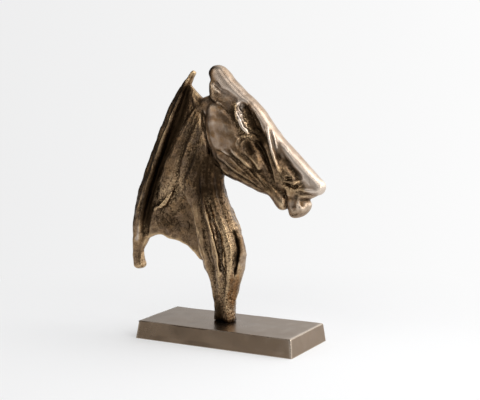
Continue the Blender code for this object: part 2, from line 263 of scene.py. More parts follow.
paper = bpy.data.materials.new("white_paper")
tree = empty_tree(paper)
place = add_node(tree, "ShaderNodeTexCoord").outputs["Object"]
radius = add_node(tree, "ShaderNodeVectorMath", {0: place}, operation="LENGTH").outputs["Value"]
fade = ramp(tree, radius, *PAPER_FADE, PAPER_FADE_LEAST, 1.0, "SMOOTHSTEP")
lit = add_node(tree, "ShaderNodeBsdfDiffuse", {"Color": PAPER_WHITE}).outputs[0]
from_camera = add_node(
    tree, "ShaderNodeVectorMath", {0: place, 1: camera.location}, operation="SUBTRACT"
).outputs[0]
ways = add_node(tree, "ShaderNodeVectorMath", {0: from_camera}, operation="NORMALIZE").outputs[0]
white = background_white(tree, ways)
# The floor also glows with the background's white, a painted light: far out it is all glow, so no
# horizon shows, and beside the plinth a share of glow lightens the floor's shadow.
glow = add_node(tree, "ShaderNodeEmission", {"Color": white, "Strength": 1.0}).outputs[0]
paper_mix = add_node(tree, "ShaderNodeMixShader", {0: fade, 1: lit, 2: glow})
add_node(tree, "ShaderNodeOutputMaterial", {"Surface": paper_mix.outputs[0]})
studio_floor.data.materials.append(paper)
print("the paper fades between these radii in metres:", PAPER_FADE)

# %% [markdown]
# ## The head's skin
#
# The foundry's model was made in wax or clay, drawn out in long strokes and cut with a knife. Its
# solid has only some ten thousand flat facets. So a copy of it is subdivided, which rounds it, and
# Remesh then covers it with an even skin of small faces, on which the finer strokes can be cut. The
# solid itself is left alone and serves as the measure of size later on.

# %% A fine skin over the solid
MERGE_DISTANCE = 0.01
SKIN_LEVELS = 2
SKIN_VOXEL = 1.35
SKIN_SOFTENING = 4


def merged_copy(node, name):
    """A copy of a solid's mesh, its loose triangles joined into one skin."""
    copy = bmesh.new()
    copy.from_mesh(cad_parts[node].data)
    bmesh.ops.remove_doubles(copy, verts=copy.verts, dist=MERGE_DISTANCE * MM)
    return object_from(copy, name)


def settle(obj):
    """Turns the object's modifiers into plain mesh."""
    graph = bpy.context.evaluated_depsgraph_get()
    mesh = bpy.data.meshes.new_from_object(obj.evaluated_get(graph))
    obj.modifiers.clear()
    obj.data = mesh


head = merged_copy("horse_head", "head_casting")
solid = BVHTree.FromPolygons(
    [v.co for v in head.data.vertices], [p.vertices for p in head.data.polygons]
)
rounder = head.modifiers.new("rounder", "SUBSURF")
rounder.levels = SKIN_LEVELS
rounder.render_levels = SKIN_LEVELS
skin = head.modifiers.new("skin", "REMESH")
skin.mode = "VOXEL"
skin.voxel_size = SKIN_VOXEL * MM
soften = head.modifiers.new("soften", "SMOOTH")
soften.iterations = SKIN_SOFTENING
settle(head)
print("skin faces:", len(head.data.polygons))

# %% Points and normals as tables of numbers
def read_points(mesh, what="co"):
    """The mesh's points, or normals, one row each; points in millimetres."""
    flat = np.empty(len(mesh.vertices) * 3, np.float32)
    mesh.vertices.foreach_get(what, flat)
    rows = flat.reshape(-1, 3).astype(float)
    return rows / MM if what == "co" else rows


def write_points(mesh, rows):
    """Moves the mesh's points to these rows, given in millimetres."""
    mesh.vertices.foreach_set("co", (rows * MM).astype(np.float32).ravel())
    mesh.update()


def write_values(mesh, name, values):
    """Keeps one number for each point, for the materials to read."""
    layer = mesh.attributes.get(name) or mesh.attributes.new(name, "FLOAT", "POINT")
    layer.data.foreach_set("value", values.astype(np.float32))


points = read_points(head.data)
print("skin points:", len(points), "from", points.min(0).round(1), "to", points.max(0).round(1))

# %% [markdown]
# ## Random values
#
# No hand draws an even line, and no casting is even either. Noise nodes give the grain and the
# blotches later on. The strokes are cut by plain arithmetic, so they need random values of their
# own: one for each corner of a lattice of cells, blended smoothly from cell to cell. Each value is
# the corner's place, multiplied and scrambled. The same seed always gives the same values, so the
# model is the same each time it is built.

# %% Random values on a lattice
PLACE_FACTORS = (73856093, 19349663, 83492791)
SEED_FACTOR = 2654435761
SCRAMBLING = ((15, 2246822519), (13, 3266489917))
LOW_32_BITS = 0xFFFFFFFF
LOW_16_BITS = 0xFFFF


def lattice_values(rows, size, seed):
    """Smooth random values from 0 to 1, with grains of this size."""
    cells = rows / size
    corner = np.floor(cells).astype(np.int64)
    part = cells - corner
    part = part * part * (3 - 2 * part)
    total = np.zeros(len(rows))
    for step in itertools.product((0, 1), repeat=3):
        x_key, y_key, z_key = ((corner + step) * PLACE_FACTORS).T
        key = x_key ^ y_key ^ z_key ^ (seed * SEED_FACTOR)
        for shift, factor in SCRAMBLING:
            key = (key ^ (key >> shift)) * factor & LOW_32_BITS
        value = ((key ^ (key >> 16)) & LOW_16_BITS) / LOW_16_BITS
        total += value * np.prod(np.where(step, part, 1 - part), axis=1)
    return total


sample = lattice_values(points, 3.0, 1)
print("lattice values from", sample.min().round(2), "to", sample.max().round(2))

# %% [markdown]
# ## Where the metal is rough and where it is smooth
#
# The bridge of the nose from the crown to the muzzle, the cheek, the chin and the front of the
# neck were rubbed smooth. The rim of the eye hollow, the nostril, the neck, the web's lip and the
# stem kept the grain of the mould. The finish follows its own areas: most pale ones were buffed,
# and in most dark ones the wash stayed. Some are painted light instead: pale and dark bands across
# the cheek are painted reflections, and the dark patch on the neck under the cheek, the black in
# the slot and the dark left end of the poll are painted shade. Each area is a soft spot around a
# line in the side plane, and the spots add up to two numbers for each point, its roughness and its
# tone.

# %% Curves in the side plane
CURVE_STEPS = 4


def curve_through(stops):
    """Points of a smooth curve through the stops."""
    rows = np.array(stops, float)
    if len(rows) == 2:
        return rows
    padded = np.vstack([2 * rows[0] - rows[1], rows, 2 * rows[-1] - rows[-2]])
    made = []
    for a, b, c, d in zip(padded, padded[1:], padded[2:], padded[3:]):
        for t in np.arange(CURVE_STEPS) / CURVE_STEPS:
            bend = (2 * a - 5 * b + 4 * c - d) * t**2 + (3 * b - a - 3 * c + d) * t**3
            made.append(0.5 * (2 * b + (c - a) * t + bend))
    made.append(rows[-1])
    return np.array(made)


def distance_to(places, curve):
    """How far each place is from the curve, both in the side plane."""
    best = np.full(len(places), np.inf)
    for start, end in zip(curve, curve[1:]):
        run = end - start
        share = np.clip((places - start) @ run / (run @ run), 0.0, 1.0)
        best = np.minimum(best, np.linalg.norm(places - (start + share[:, None] * run), axis=1))
    return best


print("a curve through three stops has", len(curve_through([(0, 0), (5, 2), (9, 9)])), "points")

# %% Smooth, rough, pale and dark areas
# Each row has the stops of its line as (x, z), its reach to each side, both in millimetres, and its
# strength.
SMOOTH_AREAS = [
    ([(-20, 456), (12, 426), (40, 402), (72, 370), (120, 322), (168, 276)], 17, 0.5),
    ([(-22, 385), (-2, 340)], 26, 0.5),
    ([(120, 246), (150, 240)], 14, 0.3),
    ([(150, 284), (170, 270)], 14, 0.3),
    ([(26, 176), (28, 140)], 8, 0.4),
]
ROUGH_AREAS = [
    ([(22, 404), (27, 386), (36, 369), (46, 358)], 7, 1.2),
    ([(38, 400), (48, 387), (58, 372), (64, 357)], 7, 0.8),
    ([(112, 288), (132, 274)], 12, 0.6),
    ([(-20, 240), (10, 160)], 26, 0.45),
    ([(2, 196), (10, 150), (8, 124)], 7, 0.9),
    ([(4, 76), (8, 34)], 10, 1.2),
    ([(-12, 112), (-8, 50)], 18, 0.5),
    ([(-60, 360), (-70, 280)], 22, 0.25),
    ([(-134, 236), (-100, 268)], 16, 0.9),
]
PALE_AREAS = [
    ([(-16, 452), (12, 426), (40, 402), (72, 370), (120, 322), (168, 276)], 14, 0.75),
    ([(-22, 390), (0, 335)], 26, 0.3),
    # These two pale bands, with the two dark bands further down, paint the reflections that run
    # across the cheek.
    ([(-26, 370), (-8, 373), (14, 363)], 5, 0.3),
    ([(-22, 340), (8, 341)], 10, 0.35),
    ([(120, 246), (150, 240)], 18, 0.2),
    ([(126, 260), (134, 252)], 8, 0.3),
    ([(148, 288), (168, 272)], 15, 0.9),
    ([(24, 408), (27, 390), (35, 373), (46, 360)], 4.5, 0.8),
    ([(24, 186), (27, 150), (22, 120)], 9, 0.45),
    ([(-24, 217), (-15, 192), (-9, 162), (-6, 120)], 7, 0.45),
    ([(-93, 416), (-112, 376), (-128, 337), (-149, 288), (-177, 222), (-185, 163)], 5, 0.9),
    ([(-24, 437), (-14, 430), (-2, 424)], 8, 0.35),
    ([(-64, 412), (-84, 370), (-110, 317), (-128, 278), (-138, 243)], 6, 0.15),
    ([(-134, 236), (-100, 268)], 14, 0.25),
    ([(2, 196), (10, 150), (8, 124)], 5, 0.3),
]
DARK_AREAS = [
    ([(-88, 430), (-110, 366), (-143, 298), (-172, 205)], 12, 1.0),
    ([(-104, 420), (-134, 366), (-170, 290), (-192, 200)], 16, 0.6),
    ([(-80, 428), (-90, 388), (-113, 345), (-137, 299), (-158, 237), (-165, 193)], 6, 1.2),
    ([(-60, 402), (-34, 404)], 10, 0.4),
    # Two dark bands across the cheek: painted reflections, with the two pale bands above.
    ([(-28, 384), (0, 387), (16, 378)], 6, 0.35),
    ([(-20, 356), (-4, 359), (10, 352)], 4, 0.3),
    # These five areas paint the shadow under the cheek on the upper neck; where they overlap most,
    # it goes towards black.
    ([(-52, 350), (-40, 262)], 26, 0.3),
    ([(-60, 308), (-48, 262)], 20, 0.75),
    ([(-24, 318), (-20, 268)], 18, 0.95),
    ([(-20, 262), (-8, 222)], 7, 0.6),
    ([(-42, 262), (-30, 216)], 6, 0.55),
    ([(-74, 380), (-100, 322), (-124, 274)], 10, 0.5),
    ([(17, 404), (16, 394), (20, 383)], 5, 1.2),
    ([(101, 340), (112, 326), (121, 308), (130, 297)], 6, 0.2),
    ([(42, 402), (51, 391), (60, 377), (67, 361), (70, 346)], 6, 1.6),
    ([(37, 396), (45, 381), (53, 367)], 5.5, 1.3),
    ([(54, 366), (62, 346), (74, 320), (84, 290)], 8, 0.8),
    ([(48, 340), (54, 328)], 7, 1.7),
    # Painted shade in the deep slot of the neck, dark enough to turn it black.
    ([(14, 190), (20, 174), (23, 160), (21, 144), (18, 120)], 2.6, 2.0),
    ([(20, 176), (23, 160), (21, 142)], 4.0, 1.2),
    ([(116, 284), (132, 276)], 9, 0.4),
    ([(0, 318), (70, 272)], 16, 0.35),
    ([(-124, 204), (-104, 196)], 12, 0.9),
    ([(-86, 226), (-76, 190)], 12, 0.6),
    ([(-15, 58), (-11, 34)], 10, 1.3),
    ([(-18, 35), (10, 33)], 5, 1.5),
    # The left end of the poll is painted dark: a painted reflection of the dark left side of the
    # room.
    ([(-33, 466), (-34, 448)], 6, 1.6),
]
print("areas of grain:", len(SMOOTH_AREAS + ROUGH_AREAS))
print("areas of tone:", len(PALE_AREAS + DARK_AREAS))

# %% From areas to numbers
USUAL_ROUGHNESS = 0.5
LEAST_ROUGHNESS = 0.02
MOST_ROUGHNESS = 2.2


def spots(rows, areas):
    """The sum of soft spots, each fading from its line outwards."""
    total = np.zeros(len(rows))
    for stops, reach, strength in areas:
        away = distance_to(rows[:, [0, 2]], curve_through(stops))
        total += strength * np.exp(-((away / reach) ** 2))
    return total


roughness = USUAL_ROUGHNESS + spots(points, ROUGH_AREAS) - spots(points, SMOOTH_AREAS)
roughness = np.clip(roughness, LEAST_ROUGHNESS, MOST_ROUGHNESS)
tone = spots(points, PALE_AREAS) - spots(points, DARK_AREAS)
print("roughness mean", roughness.mean().round(2), "tone mean", tone.mean().round(2))

# %% [markdown]
# ## Rubbed smooth, and back onto the solid
#
# The smooth areas were filed and rubbed until every edge ran soft, and a strong smoothing does the
# same here. But smoothing shrinks whatever stands out: the tips of the mane, the nose and the chin
# lose a millimetre or two. So each point is then compared with the nearest place on the solid, the
# differences are averaged over the neighbourhood, and the skin moves by that average. It regains
# the solid's size but not its facets.

# %% A smoothing that keeps to the skin
def neighbours(mesh):
    """The mesh's edges, as pairs of point numbers."""
    flat = np.empty(len(mesh.edges) * 2, np.int32)
    mesh.edges.foreach_get("vertices", flat)
    return flat.reshape(-1, 2)


def smoothed(rows, edges, rounds):
    """The rows after this many rounds of moving towards the mean of their neighbours."""
    count = np.bincount(edges.ravel(), minlength=len(rows)).astype(float)[:, None]
    for _ in range(rounds):
        total = np.empty_like(rows)
        for axis in range(3):
            total[:, axis] = np.bincount(
                edges[:, 0], weights=rows[edges[:, 1], axis], minlength=len(rows)
            ) + np.bincount(edges[:, 1], weights=rows[edges[:, 0], axis], minlength=len(rows))
        rows = 0.5 * rows + 0.5 * total / count
    return rows


print("skin edges:", len(neighbours(head.data)))

# %% Rub the smooth areas and regain the size
RUBBING_ROUNDS = 36
REGAIN_ROUNDS = 16
RUBBED_BELOW = 0.4
RUBBED_FADE = 0.3

rubbed = np.clip((RUBBED_BELOW - roughness) / RUBBED_FADE, 0.0, 1.0)[:, None]
points += rubbed * (smoothed(points, neighbours(head.data), RUBBING_ROUNDS) - points)
nearest = np.array([solid.find_nearest(row)[0] for row in points * MM]) / MM
regained = smoothed(nearest - points, neighbours(head.data), REGAIN_ROUNDS)
points += regained
write_points(head.data, points)
print("moved by at most", np.linalg.norm(regained, axis=1).max().round(2), "mm")

# %% [markdown]
# ## The cut strokes
#
# Each stroke is a line in the side plane, cut alike into both flanks. A groove is dark in the
# finish because polish never reaches its bottom, and a raised line catches the light. The tables
# give each stroke's stops as (x, z), its reach to each side and its height or depth, in
# millimetres. Two strengths further down scale the heights, one for the head and one for the neck.

# %% The strokes on the head
HEAD_GROOVES = {
    "behind the cheek": (
        [(-50, 391), (-43, 366), (-36, 353), (-28, 317), (-14, 299), (8, 284)], 2.6, 1.6
    ),
    "over the cheek": ([(-35, 415), (-18, 408), (2, 398), (10, 391)], 1.8, 1.0),
    "over the cheek again": ([(-27, 419), (-12, 413), (3, 406)], 1.8, 0.6),
    "hollow by the brow": ([(21, 385), (25, 373), (32, 365), (46, 356)], 3.5, 1.2),
    "eye hollow upper": ([(33, 402), (42, 390), (51, 376), (58, 360)], 7.0, 3.6),
    "eye hollow lower": ([(56, 366), (60, 354), (67, 342)], 4.0, 2.4),
    "long hollow": ([(59, 353), (60, 342), (71, 325), (81, 303), (84, 282)], 3.5, 1.8),
    "between the nose ridges": ([(82, 364), (90, 345), (97, 322)], 2.4, 2.8),
    "nose flank": ([(97, 339), (121, 303), (133, 292)], 4.0, 0.8),
    "nostril": ([(115, 287), (121, 287)], 3.2, 2.0),
    "nostril cut": ([(113, 277), (121, 275), (130, 274), (136, 278)], 2.2, 1.6),
    "nostril lead": ([(113, 297), (118, 291)], 1.8, 1.0),
    "mouth": ([(143, 264), (160, 259)], 2.6, 1.0),
    "chin crease": ([(108, 268), (106, 258), (110, 250), (107, 234)], 1.8, 0.6),
    "rear lip pit": ([(130, 256), (131, 248), (128, 242)], 4.5, 0.5),
    "front lip pit": ([(138, 250), (142, 245)], 3.5, 0.4),
    "front lip cut": ([(147, 247), (149, 239)], 1.6, 0.8),
    "jaw upper": ([(10, 330), (19, 320), (34, 313), (49, 295), (73, 273), (83, 267)], 2.0, 1.2),
    "jaw middle": ([(-13, 331), (15, 319), (35, 301), (52, 283), (77, 265)], 2.0, 1.3),
    "jaw lower": ([(-5, 316), (15, 295), (40, 282), (68, 265)], 2.4, 1.4),
    "jaw foot": ([(10, 300), (22, 290), (35, 282)], 2.4, 1.4),
    "jaw nick": ([(24, 322), (33, 318)], 1.6, 0.8),
    "jaw nick long": ([(38, 314), (46, 306), (49, 299)], 1.8, 1.0),
    "whorl pit": ([(47, 340), (54, 328)], 6.0, 2.6),
    "whorl turn": ([(34, 330), (32, 341), (39, 351), (51, 349), (61, 337), (66, 324)], 1.8, 0.8),
    "cheek arc upper": ([(-38, 377), (-9, 379), (11, 375), (21, 370)], 6.0, 0.5),
    "cheek arc lower": ([(-20, 327), (6, 329), (24, 330)], 5.0, 0.5),
    "nose scratch": ([(110, 326), (119, 315)], 1.4, 0.5),
    "muzzle notch": ([(148, 292), (153, 289), (155, 281)], 2.0, 0.8),
    "upper lip line": ([(129, 265), (141, 266), (156, 264)], 1.8, 0.8),
    "brow side": ([(17, 404), (16, 394), (20, 384)], 3.5, 1.6),
    "eye hollow right": ([(42, 401), (52, 391), (60, 378), (67, 363)], 5.0, 3.4),
}

HEAD_RIDGES = {
    "cheek rim": (
        [(-46, 388), (-42, 372), (-33, 355), (-26, 330), (-20, 314), (-8, 299), (11, 287)], 2.2, 0.9
    ),
    "cheek top": ([(-33, 417), (-15, 410), (4, 400)], 1.6, 0.6),
    "brow": ([(24, 411), (22, 400), (28, 386), (37, 369), (46, 360), (55, 350)], 3.6, 1.1),
    "nose ridge long": ([(77, 371), (84, 352), (91, 330), (97, 313), (104, 296)], 1.9, 2.4),
    "nose ridge short": ([(85, 365), (91, 352), (96, 335)], 1.8, 2.2),
    "jaw high": ([(19, 329), (31, 319), (44, 308), (60, 291), (75, 272), (85, 266)], 2.0, 1.0),
    "jaw middle": ([(5, 327), (20, 314), (44, 289), (72, 269)], 2.0, 1.0),
    "jaw low": ([(-3, 320), (14, 305), (32, 291), (64, 272)], 2.0, 0.9),
    "jaw tail": ([(50, 322), (60, 314), (66, 304), (66, 297)], 1.8, 0.7),
    "jaw light": ([(57, 310), (56, 299), (62, 288), (84, 269)], 2.0, 0.9),
    "whorl outer": ([(29, 330), (28, 343), (36, 354), (52, 352), (64, 336), (69, 320)], 2.0, 0.7),
    "whorl inner": ([(39, 330), (36, 339), (42, 347), (52, 345), (60, 334)], 1.8, 0.7),
    "nostril wing": ([(132, 284), (138, 281), (142, 275), (139, 270)], 2.2, 1.0),
    "nostril rim": ([(113, 281), (122, 280), (131, 279)], 1.6, 0.8),
    "upper lip": ([(129, 269), (147, 271), (160, 269), (173, 266)], 2.6, 0.6),
    "chin rim": ([(112, 261), (112, 251), (117, 240)], 2.0, 0.9),
    "lip crescent": ([(134, 254), (137, 244), (145, 237)], 2.4, 0.7),
    "tip edge": ([(154, 292), (163, 281), (170, 270)], 2.6, 0.6),
    "philtrum": ([(148, 285), (157, 273)], 2.2, 0.6),
    "eye strand": ([(60, 386), (69, 370), (76, 353)], 2.6, 1.2),
    "poll side": ([(-24, 437), (-14, 430), (-2, 424)], 8.0, 6.0),
    "eye chip upper": ([(36, 396), (42, 392)], 2.6, 2.6),
    "eye chip middle": ([(42, 383), (49, 380)], 2.6, 2.4),
    "eye chip lower": ([(50, 369), (55, 363)], 2.4, 2.2),
}
print("head strokes:", len(HEAD_GROOVES), "cut and", len(HEAD_RIDGES), "raised")

# %% The strokes on the neck, the stem and the mane
NECK_GROOVES = {
    "neck edge": (
        [(-68, 411), (-82, 384), (-83, 369), (-97, 337), (-107, 320), (-129, 270), (-146, 248)],
        2.6,
        0.9,
    ),
    "strand behind": (
        [(-53, 398), (-62, 386), (-78, 343), (-95, 298), (-114, 262), (-134, 235)], 2.2, 1.1
    ),
    "strand one": ([(-58, 398), (-66, 374), (-75, 347), (-89, 319), (-104, 288)], 2.0, 0.9),
    "strand two": ([(-53, 381), (-53, 355), (-62, 327), (-76, 299), (-88, 280)], 2.2, 1.1),
    "strand three": ([(-45, 365), (-44, 338), (-49, 311), (-59, 283), (-72, 258)], 2.2, 1.1),
    "strand four": ([(-38, 345), (-37, 318), (-44, 263), (-50, 236), (-49, 206)], 2.2, 1.0),
    "strand five": ([(-31, 328), (-23, 305), (-22, 277), (-22, 251)], 2.0, 0.9),
    "throat strand": ([(-15, 315), (-13, 290), (-13, 263), (-8, 237)], 2.4, 0.9),
    "left furrow": ([(-56, 196), (-50, 184), (-46, 171), (-48, 146), (-42, 134)], 2.2, 1.3),
    "middle furrow": ([(-42, 200), (-41, 168), (-33, 146), (-25, 122)], 2.2, 1.3),
    "slot": ([(10, 198), (19, 176), (23, 160), (21, 142), (17, 112)], 3.2, 13.0),
    "small slit upper": ([(-59, 198), (-57, 190)], 1.8, 1.0),
    "small slit lower": ([(-48, 184), (-45, 171)], 1.8, 1.0),
    "stem nick upper": ([(9, 99), (12, 95)], 1.8, 0.8),
    "stem nick middle": ([(8, 90), (11, 86)], 1.8, 0.8),
    "stem nick lower": ([(8, 81), (11, 76)], 1.8, 0.8),
    "hollow left": ([(-141, 212), (-143, 204), (-138, 194), (-124, 181)], 3.0, 0.6),
    "hollow right": ([(-92, 252), (-88, 238), (-74, 226), (-68, 205), (-66, 170)], 3.5, 1.0),
    "mane groove top": ([(-98, 416), (-98, 404), (-109, 377), (-118, 358)], 2.2, 1.1),
    "mane groove long": (
        [(-112, 384), (-130, 346), (-145, 310), (-160, 268), (-176, 224), (-184, 184)], 2.2, 0.9
    ),
    "mane groove inner": (
        [(-94, 388), (-106, 352), (-124, 318), (-138, 284), (-150, 246)], 2.2, 0.9
    ),
    "mane groove foot": ([(-156, 207), (-166, 176)], 2.4, 0.8),
    "valley": (
        [(-77, 432), (-95, 370), (-126, 320), (-139, 291), (-164, 221), (-175, 172)], 4.0, 0.8
    ),
    "web hollow": ([(-144, 208), (-133, 215), (-120, 209), (-114, 196)], 4.0, 2.6),
    "web fold": ([(-89, 260), (-87, 242), (-82, 238)], 1.8, 1.6),
    "stem left": ([(-47, 188), (-50, 170), (-45, 153), (-40, 134)], 3.0, 2.6),
    "slot middle": ([(21, 178), (24, 160), (21, 144)], 5.0, 14.0),
    "web swirl front": ([(-89, 207), (-78, 196), (-84, 178)], 2.2, 1.8),
    "web swirl back": ([(-133, 207), (-117, 193), (-102, 196), (-92, 212)], 2.2, 1.8),
}

NECK_RIDGES = {
    "mane ridge": (
        [(-79, 445), (-97, 400), (-112, 366), (-129, 338), (-148, 285), (-186, 210)], 2.4, 1.3
    ),
    "mane line": ([(-100, 399), (-105, 384), (-110, 368)], 1.8, 0.7),
    "mane low line": ([(-152, 262), (-165, 225), (-174, 188), (-178, 152)], 2.2, 0.9),
    "mane inner line": ([(-132, 314), (-148, 274), (-161, 237), (-168, 206)], 2.0, 0.8),
    "neck crest": (
        [(-64, 408), (-78, 386), (-84, 368), (-98, 334), (-118, 294), (-136, 262)], 2.2, 0.9
    ),
    "neck top line": ([(-42, 414), (-52, 402), (-65, 384)], 1.8, 0.8),
    "strand light one": ([(-49, 391), (-57, 376), (-68, 340), (-84, 300), (-98, 276)], 1.8, 0.7),
    "strand light two": ([(-48, 372), (-49, 345), (-57, 316), (-68, 290), (-76, 268)], 1.8, 0.7),
    "strand light three": ([(-41, 350), (-41, 322), (-50, 290), (-60, 262)], 1.8, 0.7),
    "web lip": ([(-149, 213), (-140, 223), (-127, 225), (-113, 240), (-97, 262)], 1.9, 3.4),
    "left strand": (
        [(-84, 262), (-76, 244), (-63, 228), (-56, 204), (-54, 184), (-56, 158)], 2.2, 1.2
    ),
    "middle strand": ([(-48, 214), (-39, 194), (-36, 168), (-28, 143), (-18, 122)], 2.0, 1.1),
    "bright ridge": ([(-36, 246), (-29, 217), (-21, 188), (-14, 156), (-10, 120)], 2.2, 8.0),
    "slot edge": ([(-8, 224), (3, 198), (10, 178), (14, 157), (13, 114)], 2.0, 1.2),
    "front light": ([(24, 186), (27, 159), (24, 135), (21, 114)], 2.2, 0.6),
    "stem edge": ([(-2, 76), (0, 56), (2, 34)], 3.5, 1.6),
    "web rim": ([(-148, 212), (-147, 199), (-139, 182)], 1.8, 0.8),
    "filled furrow": ([(-20, 216), (-11, 204), (-3, 164), (-3, 124)], 5.5, 8.0),
    "web swirl light": ([(-124, 199), (-112, 207), (-101, 210), (-94, 222)], 2.0, 2.0),
}
print("neck and mane strokes:", len(NECK_GROOVES), "cut and", len(NECK_RIDGES), "raised")

# %% The shape of a stroke
WANDER = 2.2
WANDER_SIZE = 9.0
TAPER_LENGTH = 12.0
LEAST_TAPER = 0.25
LEAST_WIDTH = 0.4
FAINTEST = 0.35
FADE_SPAN = 1.1
FADE_SIZE = 14.0


def taper(places, curve):
    """Each place's share of the full stroke, which thins out towards both of its ends."""
    to_ends = [np.linalg.norm(places - curve[k], axis=1) for k in (0, -1)]
    return LEAST_TAPER + (1 - LEAST_TAPER) * np.minimum(np.minimum(*to_ends) / TAPER_LENGTH, 1.0)


def stroke_heights(rows, strokes, seed):
    """The largest height that any of these strokes gives to each point."""
    heights = np.zeros(len(rows))
    wander = [lattice_values(rows, WANDER_SIZE, seed + k) - 0.5 for k in (0, 1)]
    places = rows[:, [0, 2]] + WANDER * np.stack(wander, axis=1)
    for stops, reach, height in strokes.values():
        curve = curve_through(stops)
        close = (places > curve.min(0) - reach) & (places < curve.max(0) + reach)
        near = np.flatnonzero(np.all(close, axis=1))
        full = taper(places[near], curve)
        width = reach * (LEAST_WIDTH + (1 - LEAST_WIDTH) * full)
        share = 1.0 - np.minimum(distance_to(places[near], curve) / width, 1.0)
        heights[near] = np.maximum(heights[near], height * full * share * share * (3 - 2 * share))
    return heights * (FAINTEST + FADE_SPAN * lattice_values(rows, FADE_SIZE, seed + 2))


print("a stroke's end keeps", LEAST_TAPER, "of its height")

# %% Cutting the strokes
LEAST_HALF_THICKNESS = 1.6
HEAD_STRENGTH = 0.75
NECK_STRENGTH = 0.42


def cut_strokes(mesh):
    """Cuts the grooves and raises the ridges along the skin's own normals, on the flanks only."""
    rows = read_points(mesh)
    normals = read_points(mesh, "normal")
    raised = np.maximum(
        HEAD_STRENGTH * stroke_heights(rows, HEAD_RIDGES, 20),
        NECK_STRENGTH * stroke_heights(rows, NECK_RIDGES, 30),
    )
    sunk = np.maximum(
        HEAD_STRENGTH * stroke_heights(rows, HEAD_GROOVES, 40),
        NECK_STRENGTH * stroke_heights(rows, NECK_GROOVES, 50),
    )
    side = np.sign(rows[:, 1])
    least = np.minimum(np.abs(rows[:, 1]), LEAST_HALF_THICKNESS)
    rows += normals * ((raised - sunk) * np.abs(normals[:, 1]))[:, None]
    rows[:, 1] = side * np.maximum(side * rows[:, 1], least)
    write_points(mesh, rows)
    return raised, sunk


raised, sunk = cut_strokes(head.data)
print("points raised:", int((raised > 0).sum()), "sunk:", int((sunk > 0).sum()))

# %% [markdown]
# ## The broken rim of the eye hollow
#
# The rim behind the eye hollow was not drawn but pinched and chipped, so it is a row of small
# facets with sharp creases between them. Random values that turn back sharply at their middle give
# such creases. Half of the facets rise and half of them sink, so the rim keeps its place.

# %% Broken facets round the eye hollow
BROW_AREA = [([(23, 406), (28, 387), (37, 370), (48, 356)], 7, 1.0)]
FACET_SIZE = 7.0
FACET_DEPTH = 6.0
FACET_SEED = 60
MEAN_CREASE = 0.25

points = read_points(head.data)
creased = MEAN_CREASE - np.abs(lattice_values(points, FACET_SIZE, FACET_SEED) - 0.5)
facets = FACET_DEPTH * (creased * spots(points, BROW_AREA))
points += read_points(head.data, "normal") * facets[:, None]
write_points(head.data, points)
print("facets from", facets.min().round(2), "to", facets.max().round(2), "mm")

# %% [markdown]
# ## The drawn-out texture
#
# Between the strokes, the modeller's fingers and files left fine lines that follow the strands:
# down the mane, down the neck, along the jaw. Random values alone would look like sand. Here they
# are averaged along the direction of the nearest strands, which draws each grain out into a line.

# %% The direction of the strands
STRAND_GUIDES = [
    [(-79, 445), (-112, 366), (-148, 285), (-186, 190), (-188, 120)],
    [(-77, 432), (-95, 370), (-126, 320), (-164, 221), (-175, 172)],
    [(-64, 408), (-84, 368), (-118, 294), (-142, 240)],
    [(-53, 390), (-62, 335), (-88, 285), (-110, 250)],
    [(-40, 360), (-42, 320), (-62, 262), (-56, 204), (-54, 158), (-34, 118)],
    [(-25, 320), (-32, 262), (-20, 199), (-8, 140), (-8, 60)],
    [(-12, 290), (2, 216), (21, 160), (14, 110), (4, 40)],
    [(-8, 322), (30, 296), (80, 262), (104, 236)],
    [(16, 335), (50, 300), (90, 262)],
    [(45, 380), (66, 335), (84, 290)],
    [(-25, 460), (30, 418), (72, 372), (120, 322), (165, 280)],
    [(88, 350), (104, 305), (120, 280)],
    [(120, 262), (130, 232)],
]
GUIDE_SPREAD = 9.0
GUIDE_EVENNESS = 0.2


def strand_directions(rows):
    """The direction in which the strands run past each point, in the side plane."""
    total = np.zeros((len(rows), 2))
    for stops in STRAND_GUIDES:
        curve = curve_through(stops)
        for start, end in zip(curve, curve[1:]):
            middle = (start + end) / 2
            away = np.linalg.norm(rows[:, [0, 2]] - middle, axis=1) / GUIDE_SPREAD
            total += np.outer(1.0 / (GUIDE_EVENNESS + away**4), end - start)
    total /= np.linalg.norm(total, axis=1)[:, None]
    return np.stack([total[:, 0], np.zeros(len(rows)), total[:, 1]], axis=1)


points = read_points(head.data)
ways = strand_directions(points)
print("mean direction of the strands", ways.mean(0).round(2))

# %% Lines along the strands
# Each kind of line has the size of its grains, the length they are drawn out to, both in
# millimetres, its seed and its weight.
FINE_LINES = (2.6, 16.0, 3, 1.0)
BROAD_LINES = (4.5, 26.0, 7, 0.6)
LINE_STEPS = 5


def drawn_out(rows, ways, size, length, seed, weight):
    """Random values averaged along the strands, so that the grains become lines."""
    shifts = np.linspace(-0.5, 0.5, LINE_STEPS) * length
    total = sum(lattice_values(rows + ways * shift, size, seed) for shift in shifts)
    return weight * ((total / LINE_STEPS - 0.5) * math.sqrt(LINE_STEPS))


lines = drawn_out(points, ways, *FINE_LINES) + drawn_out(points, ways, *BROAD_LINES)
print("lines from", lines.min().round(2), "to", lines.max().round(2))

# %% Drawing the lines into the skin
LINE_DEPTH = 0.42
LINE_ROUGHNESS_LIMIT = 1.2

line_heights = lines * LINE_DEPTH * np.minimum(roughness, LINE_ROUGHNESS_LIMIT)
points += read_points(head.data, "normal") * line_heights[:, None]
write_points(head.data, points)
print("largest move", np.abs(line_heights).max().round(2), "mm")

# %% [markdown]
# ## The cast grain
#
# Sand or shell leaves small bumps and pits all over a casting, and the polishing leaves broad soft
# waves. Both follow a simple rule over the whole surface, so a Geometry Nodes tree does it: two
# noises move each point along its normal, and two numbers kept with each point say how much. The
# same tree serves the plinth with gentler values. The stem's foot gets no broad waves, so it stays
# just above the plinth.

